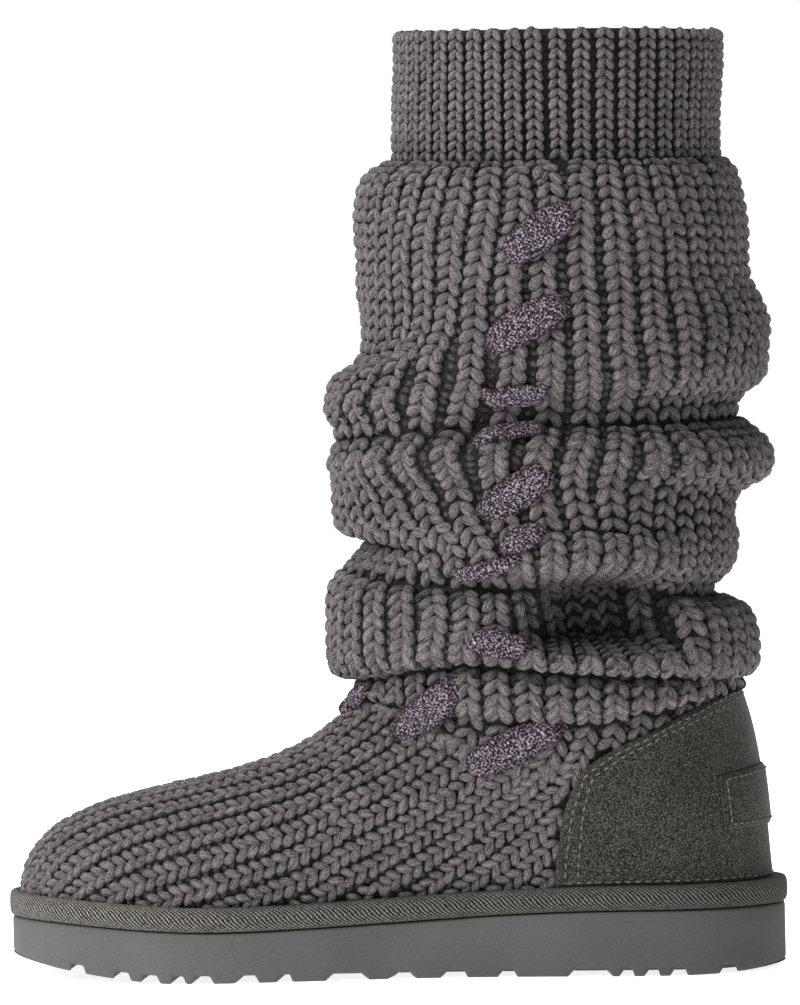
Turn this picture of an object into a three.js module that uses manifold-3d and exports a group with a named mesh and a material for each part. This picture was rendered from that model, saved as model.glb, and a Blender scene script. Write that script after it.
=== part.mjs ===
// A slouchy knitted boot on a foam sole. Millimetres, +Z up, toe towards -X, the boot's inner side
// towards -Y. The origin is on the floor, under the middle of the sole.

import * as THREE from "three";
import { mergeVertices } from "three/addons/utils/BufferGeometryUtils.js";
import Module from "manifold-3d";

const wasm = await Module();
wasm.setup();

// Sole
const soleLength = 276;
const ballWidth = 101;
const heelThickness = 22.9;
const ballThickness = 17.7;
const toeThickness = 12.9;
const toeSpring = 8.2;
const heelBevel = 2.1;
const soleEdgeRound = 1.6;
const treadDepth = 2.7;
const treadReach = 25;

// Binding tape round the top of the sole
const bindingHeight = 8.6;
const bindingThickness = 3.2;
const bindingHeelThickness = 6.5;
const bindingProud = 1;

// Upper
const knitWall = 3.6;
const ankleHeight = 102;
const legHeight = 230;
const legRadius = 58;
const legSetback = 59;

// Heel counter, heel label and insole
const counterFront = 59;
const counterHeight = 100;
const suedeThickness = 1.5;
const labelWidth = 52;
const labelHeight = 21;
const labelCentre = 61;
const labelThickness = 1.2;
const insoleThickness = 6;

// Woven strip
const laceWidth = 11.5;
const laceThickness = 3;
const laceDip = 4;

// Clearance between pieces that touch
const gap = 0.35;

// Levels up the upper: 0 is the sole, tuckLevel the binding's top, seamLevel the ankle seam, then one more
// for each ring of the leg
const tuckLevel = 0.5;
const seamLevel = 6;

// How finely the soft forms are faceted
const columnsRound = 34;
const footRows = 7;
const facetTolerance = 0.1;
const shortestEdge = 0.05;

// Half widths of the sole, as shares of the ball width. Station runs from -1 at the toe to 1 at the heel.
const SOLE_STATIONS = [
  { station: -1.0, inner: 0.43, outer: 0.35 },
  { station: -0.8, inner: 0.47, outer: 0.41 },
  { station: -0.46, inner: 0.5, outer: 0.49 },
  { station: -0.2, inner: 0.44, outer: 0.51 },
  { station: 0.02, inner: 0.38, outer: 0.485 },
  { station: 0.26, inner: 0.35, outer: 0.44 },
  { station: 0.52, inner: 0.37, outer: 0.41 },
  { station: 0.75, inner: 0.405, outer: 0.41 },
  { station: 1.0, inner: 0.41, outer: 0.4 },
];

// Handles of the foot's lengthwise curves, as shares of the ankle height. rise and bulge leave the binding,
// run and climb arrive at the ankle.
const FOOT_HANDLES = {
  rise: { front: 0.476, side: 0.27, back: 0.2, far: 0.27 },
  bulge: { front: -0.042, side: 0.06, back: -0.02, far: 0.05 },
  run: { front: 0.277, side: 0.08, back: -0.075, far: 0.08 },
  climb: { front: 0.419, side: 0.26, back: 0.2, far: 0.26 },
};

// Rolls and creases of the leg, from the ankle up, each with its values at the front, inner side, back and
// outer side. reach from the leg's axis is a share of the leg radius, height above the ankle a share of the
// leg height. The fabric comes to a ring from below leaning inwards by pinch and leaves it leaning outwards
// by flare, from 0 where it stands upright to 1 where it lies flat, and leaves inwards below 0. hang is how far it droops below the ring,
// facets is the number of rows below it.
const LEG_RINGS = [
  {
    name: "seam", reach: [1.24, 0.86, 1.09, 0.88], height: [-0.013, -0.065, -0.018, -0.05],
    hang: 0.5, pinch: [0, 0, 0, 0], flare: [0, 0, 0, 0], facets: 1,
  },
  {
    name: "cuffRoll", reach: [1.25, 0.985, 1.12, 0.97], height: [-0.004, -0.025, -0.008, -0.02],
    hang: 0.6, pinch: [0, 0, 0, 0], flare: [0, 0, 0, 0], facets: 1,
  },
  {
    name: "cuffCrease", reach: [1.22, 0.93, 1.12, 0.93], height: [0.006, 0.02, 0.002, 0.014],
    hang: 0.5, pinch: [0.8, 0.8, 0.8, 0.8], flare: [0.8, 0.8, 0.8, 0.8], facets: 1,
  },
  {
    name: "ankleRoll", reach: [1.42, 1.14, 1.24, 1.15], height: [0.05, 0.06, 0.045, 0.06],
    hang: 0.7, pinch: [0, 0, 0, 0], flare: [0, 0, 0, 0], facets: 3,
  },
  {
    name: "ankleCrease", reach: [1.31, 0.98, 0.95, 0.98], height: [0.182, 0.15, 0.128, 0.16],
    hang: 0.4, pinch: [0.55, 0.8, 0.85, 0.75], flare: [-0.55, 0.3, 0.2, 0.3], facets: 3,
  },
  {
    name: "lowerHem", reach: [1.12, 1.15, 1.12, 1.13], height: [0.228, 0.195, 0.215, 0.21],
    hang: 0.65, pinch: [0.6, 0, 0, 0], flare: [1, 0, 0, 0], facets: 3,
  },
  {
    name: "lowerHollow", reach: [1.37, 1.1, 1.1, 1.08], height: [0.272, 0.29, 0.252, 0.275],
    hang: 0.5, pinch: [0, 0, 0, 0], flare: [0, 0, 0, 0], facets: 2,
  },
  {
    name: "middleRoll", reach: [1.365, 1.16, 1.345, 1.16], height: [0.328, 0.357, 0.338, 0.342],
    hang: 0.5, pinch: [0, 0, 0, 0], flare: [0, 0, 0, 0], facets: 2,
  },
  {
    name: "middleCrease", reach: [1.31, 1.0, 1.13, 1.0], height: [0.378, 0.402, 0.405, 0.4],
    hang: 0.8, pinch: [0.15, 0.7, 0.6, 0.7], flare: [0.1, 0, 0, 0], facets: 3,
  },
  {
    name: "upperLip", reach: [1.385, 1.165, 1.325, 1.16], height: [0.446, 0.5, 0.498, 0.492],
    hang: 0.6, pinch: [0, 0, 0, 0], flare: [0, 0, 0, 0], facets: 3,
  },
  {
    name: "upperNotch", reach: [1.165, 1.13, 1.315, 1.12], height: [0.538, 0.573, 0.568, 0.565],
    hang: 0.62, pinch: [0, 0.15, 0.25, 0.15], flare: [0, -0.15, -0.25, -0.15], facets: 2,
  },
  {
    name: "upperRoll", reach: [1.19, 1.11, 1.215, 1.1], height: [0.63, 0.666, 0.643, 0.655],
    hang: 0.5, pinch: [0, 0, 0, 0], flare: [0, 0, 0, 0], facets: 2,
  },
  {
    name: "shoulder", reach: [1.185, 1.07, 1.19, 1.06], height: [0.752, 0.764, 0.742, 0.758],
    hang: 0.5, pinch: [0.15, 0.2, 0.15, 0.2], flare: [-0.15, -0.2, -0.15, -0.2], facets: 2,
  },
  {
    name: "collarBase", reach: [0.96, 0.92, 1.055, 0.92], height: [0.81, 0.806, 0.806, 0.806],
    hang: 0.5, pinch: [0.65, 0.65, 0.65, 0.65], flare: [0, 0, 0, 0], facets: 2,
  },
  {
    name: "collarTop", reach: [0.938, 0.92, 1.085, 0.92], height: [1.002, 1.0, 0.996, 1.0],
    hang: 0.5, pinch: [0, 0, 0, 0], flare: [0, 0, 0, 0], facets: 1,
  },
];

// Local pockets pressed into the leg; a depth below 0 fills the leg out instead. angle is in degrees round
// the boot from the toe, wide too, height a share of the leg height, depth and tall shares of the leg radius.
const LEG_POCKETS = [
  { name: "innerPocket", angle: 111, height: 0.105, wide: 23, tall: 0.17, depth: 0.44 },
  { name: "outerPocket", angle: 236, height: 0.15, wide: 24, tall: 0.14, depth: 0.16 },
  { name: "outerFrontPocket", angle: 305, height: 0.41, wide: 20, tall: 0.16, depth: 0.1 },
  { name: "frontFill", angle: 48, height: 0.39, wide: 26, tall: 0.3, depth: -0.13 },
];

// Places where the leg's fabric sags, or is drawn up where drop is below 0. The columns are as above, with
// drop a share of the leg radius.
const LEG_SAGS = [
  { name: "cuffLift", angle: 62, height: 0.045, wide: 28, tall: 0.16, drop: -0.12 },
  { name: "hemArch", angle: 112, height: 0.2, wide: 24, tall: 0.2, drop: -0.06 },
];

// Visible bars of the woven strip. Each goes from one place to the other, as an angle round the boot in
// degrees and a level.
const ANKLE_BARS = [
  { name: "ankleFront", fromAngle: 10, fromLevel: 5.75, toAngle: 24, toLevel: 7.2 },
  { name: "ankleMiddle", fromAngle: 49.5, fromLevel: 5.6, toAngle: 65, toLevel: 7.4 },
  { name: "ankleBack", fromAngle: 78, fromLevel: 5.0, toAngle: 94, toLevel: 6.2 },
];
const LEG_BARS = [
  { name: "ankleRollBar", fromAngle: 72, fromLevel: 8.97, toAngle: 86.5, toLevel: 8.93 },
  { name: "creaseBar", fromAngle: 64, fromLevel: 10.59, toAngle: 91.5, toLevel: 11.06 },
  { name: "hemBar", fromAngle: 75.5, fromLevel: 11.82, toAngle: 92, toLevel: 12.71 },
  { name: "middleBar", fromAngle: 76, fromLevel: 13.66, toAngle: 92.5, toLevel: 13.9 },
  { name: "middleCreaseBar", fromAngle: 77, fromLevel: 14.5, toAngle: 93, toLevel: 14.6 },
  { name: "upperBar", fromAngle: 78.5, fromLevel: 15.36, toAngle: 98, toLevel: 16.08 },
  { name: "topBar", fromAngle: 82, fromLevel: 16.96, toAngle: 101, toLevel: 17.6 },
];

// Grooves of the tread seen at the sole's edge: start and width as shares of the sole length from its middle.
const TREAD_GROOVES = [
  { start: -0.41, width: 0.023 },
  { start: -0.35, width: 0.024 },
  { start: -0.313, width: 0.025 },
  { start: -0.274, width: 0.02 },
  { start: -0.246, width: 0.028 },
  { start: -0.19, width: 0.03 },
  { start: -0.138, width: 0.02 },
  { start: -0.077, width: 0.053 },
  { start: 0.008, width: 0.026 },
  { start: 0.069, width: 0.033 },
  { start: 0.141, width: 0.023 },
  { start: 0.23, width: 0.057 },
  { start: 0.296, width: 0.019 },
  { start: 0.328, width: 0.02 },
  { start: 0.36, width: 0.023 },
  { start: 0.422, width: 0.024 },
];

const radians = THREE.MathUtils.degToRad;
const lerp = THREE.MathUtils.lerp;
const smoothstep = THREE.MathUtils.smoothstep;

// A value that runs smoothly round the boot through its front, inner side, back and outer side.
function roundBoot(angle, front, side, back, far) {
  const c = Math.cos(angle);
  const s = Math.sin(angle);
  return c * c * (c > 0 ? front : back) + s * s * (s > 0 ? side : far);
}

// The value of a table's column at a station, on a smooth curve through its rows.
function alongStations(station, column) {
  const rows = SOLE_STATIONS;
  let i = 0;
  while (i < rows.length - 2 && station > rows[i + 1].station) i++;
  const before = rows[Math.max(i - 1, 0)];
  const [a, b] = [rows[i], rows[i + 1]];
  const after = rows[Math.min(i + 2, rows.length - 1)];
  const t = THREE.MathUtils.clamp((station - a.station) / (b.station - a.station), 0, 1);
  const slopeA = (b[column] - before[column]) / (b.station - before.station);
  const slopeB = (after[column] - a[column]) / (after.station - a.station);
  const span = b.station - a.station;
  const t2 = t * t;
  const t3 = t2 * t;
  return (
    (2 * t3 - 3 * t2 + 1) * a[column] +
    (t3 - 2 * t2 + t) * span * slopeA +
    (3 * t2 - 2 * t3) * b[column] +
    (t3 - t2) * span * slopeB
  );
}

// The sole's outline at an angle round the boot, moved outwards by offset.
function outlinePoint(angle, offset = 0) {
  const bluntness = 0.75;
  const endRoundness = 5;
  const c = Math.cos(angle);
  const station = -Math.sign(c) * Math.abs(c) ** bluntness;
  const ends = Math.sqrt(Math.max(0, 1 - Math.abs(station) ** endRoundness));
  const inner = Math.sin(angle) > 0;
  const half = alongStations(station, inner ? "inner" : "outer") * ballWidth * ends;
  const point = new THREE.Vector2((station * soleLength) / 2, inner ? -half : half);
  if (!offset) return point;
  const step = 0.02;
  const along = outlinePoint(angle + step).sub(outlinePoint(angle - step)).normalize();
  return point.add(new THREE.Vector2(along.y, -along.x).multiplyScalar(offset));
}

// Height of the sole's top face and of its underside, at x along the boot.
function soleTop(x) {
  const toeward = smoothstep(-x, 0.22 * soleLength, 0.5 * soleLength);
  const heelward = smoothstep(x, -0.22 * soleLength, 0.32 * soleLength);
  const toeTop = toeSpring + toeThickness;
  return ballThickness + (toeTop - ballThickness) * toeward + (heelThickness - ballThickness) * heelward;
}
function soleBottom(x) {
  const toeStart = 0.27 * soleLength;
  const heelStart = 0.39 * soleLength;
  const toeward = Math.max(0, (-x - toeStart) / (soleLength / 2 - toeStart));
  const heelward = Math.max(0, (x - heelStart) / (soleLength / 2 - heelStart));
  return toeSpring * toeward ** 1.5 + heelBevel * heelward ** 2;
}

// A ring of the leg at an angle.
function ringPoint(ring, angle) {
  const c = Math.cos(angle);
  const s = Math.sin(angle);
  const [front, side, back, far] = ring.reach;
  return new THREE.Vector3(
    legSetback - c * (c > 0 ? front : back) * legRadius,
    -s * (s > 0 ? side : far) * legRadius,
    ankleHeight + legHeight * roundBoot(angle, ...ring.height)
  );
}

function bezier(t, a, b, c, d) {
  const u = 1 - t;
  return new THREE.Vector3()
    .addScaledVector(a, u * u * u)
    .addScaledVector(b, 3 * u * u * t)
    .addScaledVector(c, 3 * u * t * t)
    .addScaledVector(d, t * t * t);
}

// How far inside the sole's outline the binding's inner edge lies.
function bindingInset(angle) {
  const side = bindingThickness;
  return roundBoot(angle, side, side, bindingHeelThickness, side) - bindingProud;
}

// The foot: from the sole's edge straight up inside the binding, then over to the ankle seam.
function footPoint(angle, level) {
  const h = FOOT_HANDLES;
  const handle = (k) => ankleHeight * roundBoot(angle, h[k].front, h[k].side, h[k].back, h[k].far);
  const edge = outlinePoint(angle, -bindingInset(angle) - gap);
  const tucked = (height) => new THREE.Vector3(edge.x, edge.y, soleTop(edge.x) + gap + height);
  if (level < tuckLevel) return tucked((bindingHeight * level) / tuckLevel);
  const start = tucked(bindingHeight);
  const end = ringPoint(LEG_RINGS[0], angle);
  const bulge = handle("bulge");
  const leave = new THREE.Vector3(-Math.cos(angle) * bulge, -Math.sin(angle) * bulge, handle("rise"));
  const arrive = new THREE.Vector3(handle("run"), 0, handle("climb"));
  const t = (level - tuckLevel) / (seamLevel - tuckLevel);
  return bezier(t, start, leave.add(start), end.clone().sub(arrive), end);
}

// The leg: rolls between rings, drooping by their hang and meeting in their creases.
function legPoint(angle, level) {
  const i = Math.min(Math.floor(level - seamLevel), LEG_RINGS.length - 2);
  const [lower, upper] = [LEG_RINGS[i], LEG_RINGS[i + 1]];
  const below = ringPoint(lower, angle);
  const above = ringPoint(upper, angle);
  const reach = below.distanceTo(above);
  const outward = new THREE.Vector3(-Math.cos(angle), -Math.sin(angle), 0);
  const leaning = (lean) => new THREE.Vector3(0, 0, 1 - Math.abs(lean)).addScaledVector(outward, lean);
  const leave = leaning(roundBoot(angle, ...lower.flare));
  const arrive = leaning(-roundBoot(angle, ...upper.pinch));
  const point = bezier(
    level - seamLevel - i,
    below,
    leave.multiplyScalar(reach * (1.1 - upper.hang)).add(below),
    arrive.multiplyScalar(-reach * upper.hang).add(above),
    above
  );
  const local = ({ angle: at, height, wide, tall }) => {
    const turn = angle - radians(at);
    const across = Math.atan2(Math.sin(turn), Math.cos(turn)) / radians(wide);
    return [across, (point.z - ankleHeight - height * legHeight) / (tall * legRadius)];
  };
  for (const pocket of LEG_POCKETS) {
    const [across, up] = local(pocket);
    point.addScaledVector(outward, -pocket.depth * legRadius * Math.exp(-(across ** 4) - up ** 4));
  }
  for (const sag of LEG_SAGS) {
    const [across, up] = local(sag);
    point.z -= sag.drop * legRadius * Math.exp(-(across ** 2) - up ** 2);
  }
  return point;
}

// The outside of the upper, from the sole's edge to the collar, moved outwards by offset.
const topLevel = seamLevel + LEG_RINGS.length - 1;
function upperPoint(angle, level, offset = 0) {
  const point = level < seamLevel ? footPoint(angle, level) : legPoint(angle, level);
  if (!offset) return point;
  const turn = 0.03;
  const lift = 0.04;
  const round = upperPoint(angle + turn, level).sub(upperPoint(angle - turn, level));
  const higher = upperPoint(angle, Math.min(level + lift, topLevel));
  const rising = higher.sub(upperPoint(angle, Math.max(level - lift, 0)));
  return point.addScaledVector(round.cross(rising).normalize(), offset);
}

// Rows of a form, each a ring of points, joined by faces that point outwards.
function joinRings(vertices, faces, rings, inwards = false) {
  const first = vertices.length / 3;
  const count = rings[0].length;
  for (const ring of rings) for (const p of ring) vertices.push(p.x, p.y, p.z);
  for (let j = 0; j + 1 < rings.length; j++)
    for (let i = 0; i < count; i++) {
      const next = (i + 1) % count;
      const [a, b] = [first + j * count + i, first + j * count + next];
      const [c, d] = [b + count, a + count];
      faces.push(...(inwards ? [a, c, b, a, d, c] : [a, b, c, a, c, d]));
    }
  return { bottom: first, top: first + (rings.length - 1) * count, count };
}

function geometryOf(vertices, faces) {
  const geometry = new THREE.BufferGeometry();
  geometry.setAttribute("position", new THREE.Float32BufferAttribute(vertices, 3));
  geometry.setIndex(faces);
  return geometry;
}

// Rings stacked into a solid, with a fan of faces closing each end.
function stackOf(rings) {
  const vertices = [];
  const faces = [];
  const { bottom, top, count } = joinRings(vertices, faces, rings);
  for (const [start, ring, down] of [[bottom, rings[0], true], [top, rings.at(-1), false]]) {
    const middle = ring.reduce((sum, p) => sum.add(p), new THREE.Vector3()).divideScalar(count);
    const hub = vertices.length / 3;
    vertices.push(middle.x, middle.y, middle.z);
    for (let i = 0; i < count; i++) {
      const [a, b] = [start + i, start + ((i + 1) % count)];
      faces.push(...(down ? [hub, b, a] : [hub, a, b]));
    }
  }
  return geometryOf(vertices, faces);
}

// A closed section carried round a closed path, such as the binding.
function hoopOf(sections) {
  const vertices = [];
  const faces = [];
  joinRings(vertices, faces, [...sections, sections[0]]);
  return mergedOf(geometryOf(vertices, faces));
}

function mergedOf(geometry) {
  const plain = new THREE.BufferGeometry();
  plain.setAttribute("position", geometry.getAttribute("position"));
  if (geometry.index) plain.setIndex(geometry.index);
  return mergeVertices(plain, 1e-3);
}

function solidOf(geometry) {
  const merged = mergedOf(geometry);
  return new wasm.Manifold(
    new wasm.Mesh({
      numProp: 3,
      vertProperties: Float32Array.from(merged.attributes.position.array),
      triVerts: Uint32Array.from(merged.index.array),
    })
  );
}

function geometryFrom(solid) {
  const mesh = solid.getMesh();
  return geometryOf(Array.from(mesh.vertProperties), Array.from(mesh.triVerts));
}

// A cut solid without the slivers that its cuts leave: short edges are closed up, and stray crumbs dropped.
function tidied(solid) {
  const geometry = geometryFrom(solid.simplify(facetTolerance));
  const position = geometry.attributes.position;
  const keep = Array.from({ length: position.count }, (_, i) => i);
  const kept = (i) => (keep[i] === i ? i : kept(keep[i]));
  const corner = (i) => new THREE.Vector3().fromBufferAttribute(position, i);
  const faces = Array.from(geometry.index.array);
  for (let k = 0; k < faces.length; k++) {
    const other = k % 3 === 2 ? k - 2 : k + 1;
    const [a, b] = [kept(faces[k]), kept(faces[other])];
    if (a !== b && corner(a).distanceTo(corner(b)) < shortestEdge) keep[b] = a;
  }
  const closed = [];
  for (let k = 0; k < faces.length; k += 3) {
    const [a, b, c] = faces.slice(k, k + 3).map(kept);
    if (a !== b && b !== c && c !== a) closed.push(a, b, c);
  }
  const bodies = solidOf(geometryOf(Array.from(position.array), closed)).decompose();
  return bodies.reduce((best, body) => (body.volume() > best.volume() ? body : best));
}

const anglesRound = (count) => Array.from({ length: count }, (_, i) => (i * 2 * Math.PI) / count);

// Levels of the upper's rows: the foot's, then each ring's facets.
function upperLevels(highest = topLevel) {
  const footLevel = (_, j) => lerp(tuckLevel, seamLevel, (j / footRows) ** 0.9);
  const foot = [0, ...Array.from({ length: footRows }, footLevel)];
  const leg = LEG_RINGS.slice(1).flatMap(({ facets }, k) =>
    Array.from({ length: facets }, (_, step) => seamLevel + k + step / facets)
  );
  return [...foot, ...leg, topLevel].filter((level) => level <= highest);
}

const upperRing = (level, offset) => anglesRound(columnsRound).map((a) => upperPoint(a, level, offset));

// The upper as one hollow wall, open at the collar and underneath.
function upperWall() {
  const levels = upperLevels();
  const vertices = [];
  const faces = [];
  const outside = joinRings(vertices, faces, levels.map((level) => upperRing(level, 0)));
  const flatInside = (level) => {
    const ring = upperRing(level, -knitWall);
    return level === 0 ? ring.map((p) => p.setZ(soleTop(p.x) + gap)) : ring;
  };
  const inside = joinRings(vertices, faces, levels.map(flatInside), true);
  for (let i = 0; i < columnsRound; i++) {
    const next = (i + 1) % columnsRound;
    const [a, b, c, d] = [outside.bottom + i, outside.bottom + next, inside.bottom + next, inside.bottom + i];
    faces.push(a, c, b, a, d, c);
    const [e, f, g, h] = [outside.top + i, outside.top + next, inside.top + next, inside.top + i];
    faces.push(e, f, g, e, g, h);
  }
  return solidOf(geometryOf(vertices, faces));
}

// The upper's outer form made larger by offset, as a closed solid, up to the top of the ankle.
function largerForm(offset) {
  const highest = seamLevel + 3;
  return solidOf(stackOf(upperLevels(highest).map((level) => upperRing(level, offset))));
}

// A side view outline, as wide as the boot.
function acrossBoot(shape) {
  const wide = 3 * ballWidth;
  const geometry = new THREE.ExtrudeGeometry(shape, { depth: wide, bevelEnabled: false, curveSegments: 8 });
  return solidOf(geometry.rotateX(Math.PI / 2).translate(0, wide / 2, 0));
}

// Rings that keep to the sole's outline, closed underneath and on top by strips straight across it.
function slabOf(rings) {
  const vertices = [];
  const faces = [];
  const { bottom, top, count } = joinRings(vertices, faces, rings);
  const across = (k) => (count - k) % count;
  for (let i = 0; i < count / 2; i++)
    for (const [base, down] of [[bottom, true], [top, false]]) {
      const [a, b, c, d] = [i, i + 1, across(i + 1), across(i)].map((k) => base + k);
      if (b !== c) faces.push(...(down ? [c, b, a] : [a, b, c]));
      if (a !== d) faces.push(...(down ? [d, c, a] : [a, c, d]));
    }
  return geometryOf(vertices, faces);
}

function insoleSolid() {
  const section = (height) =>
    anglesRound(columnsRound).map((angle) => {
      const edge = outlinePoint(angle, -bindingInset(angle) - knitWall - 4 * gap);
      return new THREE.Vector3(edge.x, edge.y, soleTop(edge.x) + height);
    });
  return slabOf([section(gap), section(gap + insoleThickness)]);
}

// The foam sole: its plan outline between a shaped underside and top, with grooves cut in from each edge.
function soleSolid() {
  const edge = (inset, z) =>
    anglesRound(columnsRound).map((angle) => {
      const p = outlinePoint(angle, -inset);
      return new THREE.Vector3(p.x, p.y, z(p.x));
    });
  let sole = solidOf(
    slabOf([
      edge(soleEdgeRound, soleBottom),
      edge(0, (x) => soleBottom(x) + soleEdgeRound),
      edge(0, (x) => soleTop(x) - soleEdgeRound / 2),
      edge(soleEdgeRound / 2, soleTop),
    ])
  );
  for (const groove of TREAD_GROOVES)
    for (const side of [-1, 1]) sole = sole.subtract(grooveCutter(groove, side));
  return sole;
}

// One groove of the tread: an arched channel that runs in from the sole's edge and closes before the middle.
function grooveCutter({ start, width }, side) {
  const wide = width * soleLength;
  const middle = start * soleLength + wide / 2;
  const arch = new THREE.Shape();
  arch.moveTo(-wide / 2, -treadDepth);
  arch.lineTo(wide / 2, -treadDepth);
  arch.lineTo(wide / 2, 0.35 * treadDepth);
  arch.lineTo(0.28 * wide, treadDepth);
  arch.lineTo(-0.28 * wide, treadDepth);
  arch.lineTo(-wide / 2, 0.35 * treadDepth);
  const edgeHere = alongStations((2 * middle) / soleLength, side < 0 ? "inner" : "outer") * ballWidth;
  const geometry = new THREE.ExtrudeGeometry(arch, { depth: edgeHere, bevelEnabled: false });
  const inEnd = edgeHere - treadReach;
  geometry.rotateX(Math.PI / 2).translate(middle, side > 0 ? inEnd + edgeHere : -inEnd, soleBottom(middle));
  return solidOf(geometry);
}

function bindingSolid() {
  const outer = bindingProud;
  const tall = bindingHeight;
  const corner = bindingThickness * 0.35;
  const sections = anglesRound(columnsRound).map((angle) => {
    const inner = -bindingInset(angle);
    const section = [
      [inner, tall],
      [outer - corner, tall],
      [outer, tall - corner],
      [outer, corner * 0.6],
      [outer - corner * 0.6, 0],
      [inner, 0],
    ];
    return section.map(([offset, height]) => {
      const p = outlinePoint(angle, offset);
      return new THREE.Vector3(p.x, p.y, soleTop(p.x) + gap + height);
    });
  });
  return hoopOf(sections);
}

// The suede counter: between two forms larger than the upper, inside its side view outline.
function counterSolid() {
  const base = heelThickness + bindingHeight + 3 * gap;
  const back = soleLength / 2;
  const outline = new THREE.Shape();
  outline.moveTo(counterFront, base);
  outline.lineTo(counterFront + 0.03 * counterHeight, 0.52 * counterHeight);
  outline.bezierCurveTo(
    counterFront + 0.06 * counterHeight,
    0.7 * counterHeight,
    counterFront + 0.16 * counterHeight,
    0.79 * counterHeight,
    counterFront + 0.34 * counterHeight,
    0.885 * counterHeight
  );
  outline.lineTo(back, counterHeight);
  outline.lineTo(back, base);
  return largerForm(gap + suedeThickness).subtract(largerForm(gap)).intersect(acrossBoot(outline));
}

function labelSolid() {
  const nearest = 2 * gap + suedeThickness;
  const block = new THREE.BoxGeometry(0.3 * soleLength, labelWidth, labelHeight);
  block.translate(soleLength / 2, 0, labelCentre);
  return largerForm(nearest + labelThickness).subtract(largerForm(nearest)).intersect(solidOf(block));
}

// A place for the woven strip: a point off the upper's outside, the way out from there and a share of the
// strip's width.
function lacePlace(angle, level, offset, share) {
  const surface = upperPoint(angle, level);
  const out = upperPoint(angle, level, 1).sub(surface);
  return { point: surface.addScaledVector(out, offset), out, share };
}

// A place inside the boot, clear of the creases that stand in from its wall near that level.
function hiddenPlace(angle, level) {
  const axis = new THREE.Vector2(legSetback, 0);
  const nearby = [-0.9, -0.6, -0.3, 0, 0.3, 0.6, 0.9].map((step) => {
    const p = upperPoint(angle, level + step);
    return new THREE.Vector2(p.x, p.y).sub(axis).length();
  });
  const { x, y, z } = upperPoint(angle, level);
  const out = new THREE.Vector3(x - legSetback, y, 0).normalize();
  const reach = Math.min(...nearby) - knitWall - laceThickness - 3 * gap;
  return { point: new THREE.Vector3(legSetback, 0, z).addScaledVector(out, reach), out, share: 0.5 };
}

// One visible bar, with its ends dipping through the wall, from its upper end to its lower one.
function barPlaces(bar) {
  const outside = 2 * gap + laceThickness / 2;
  const inside = -knitWall - 4 * gap - laceThickness / 2;
  const from = upperPoint(radians(bar.fromAngle), bar.fromLevel);
  const dip = laceDip / from.distanceTo(upperPoint(radians(bar.toAngle), bar.toLevel));
  const place = (t, offset, share) => {
    const angle = radians(lerp(bar.toAngle, bar.fromAngle, t));
    return lacePlace(angle, lerp(bar.toLevel, bar.fromLevel, t), offset, share);
  };
  const [rising, falling] = [place(0.8 * dip, outside, 0.75), place(1 - 0.8 * dip, outside, 0.75)];
  const middle = place(0.5, outside + 0.2 * laceThickness, 1);
  const straight = rising.point.clone().add(falling.point).divideScalar(2);
  const proud = straight.clone().sub(middle.point).dot(middle.out);
  if (proud > 0) middle.point.addScaledVector(middle.out, proud);
  return [place(-dip, inside, 0.5), rising, middle, falling, place(1 + dip, inside, 0.5)];
}

// The hidden run between two bars' ends, given as an angle in degrees and a level.
function hiddenRun([fromAngle, fromLevel], [toAngle, toLevel]) {
  const count = Math.max(1, Math.round(Math.abs(toLevel - fromLevel) / 0.7));
  return Array.from({ length: count }, (_, k) => {
    const t = (k + 1) / (count + 1);
    return hiddenPlace(radians(lerp(fromAngle, toAngle, t)), lerp(fromLevel, toLevel, t));
  });
}

// The places the woven strip runs through: from its hidden end at the top of the inner side, down that side,
// round the front and up the outer side, which mirrors the inner one.
function lacePlaces() {
  const bars = [...ANKLE_BARS, ...LEG_BARS].reverse();
  const innerPlaces = bars.flatMap((bar, k) => {
    const previous = bars[k - 1];
    const run = previous
      ? hiddenRun([previous.fromAngle, previous.fromLevel], [bar.toAngle, bar.toLevel])
      : [];
    return [...run, ...barPlaces(bar)];
  });
  const mirrored = ({ point, out, share }) => {
    const across = new THREE.Vector3(1, -1, 1);
    return { point: point.clone().multiply(across), out: out.clone().multiply(across), share };
  };
  const outerPlaces = innerPlaces.map(mirrored).reverse();
  const { fromLevel } = bars.at(-1);
  return [...innerPlaces, hiddenPlace(0, fromLevel), ...outerPlaces];
}

// The woven strip as one solid, made larger all round by extra to cut its slots.
function laceSolid(extra) {
  const places = lacePlaces();
  const sections = places.map(({ point, out, share }, k) => {
    const next = places[Math.min(k + 1, places.length - 1)].point;
    const along = next.clone().sub(places[Math.max(k - 1, 0)].point);
    const across = along.clone().cross(out).normalize();
    const up = across.clone().cross(along).normalize();
    const halfWidth = (share * laceWidth) / 2 + extra;
    const halfThickness = laceThickness / 2 + extra;
    const corner = (u, v) =>
      point.clone().addScaledVector(across, u * halfWidth).addScaledVector(up, v * halfThickness);
    return [corner(-1, 1), corner(1, 1), corner(1, -1), corner(-1, -1)];
  });
  return solidOf(stackOf(sections));
}

const foam = new THREE.MeshStandardMaterial({ color: 0x6b696a, roughness: 0.85, metalness: 0 });
const tape = new THREE.MeshStandardMaterial({ color: 0x5d5c55, roughness: 0.9, metalness: 0 });
const knit = new THREE.MeshStandardMaterial({ color: 0x5c5857, roughness: 0.95, metalness: 0 });
const suede = new THREE.MeshStandardMaterial({ color: 0x42403b, roughness: 1, metalness: 0 });
const fleece = new THREE.MeshStandardMaterial({ color: 0x77726f, roughness: 1, metalness: 0 });
const laceYarn = new THREE.MeshStandardMaterial({ color: 0x5b4f5c, roughness: 0.95, metalness: 0 });

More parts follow.
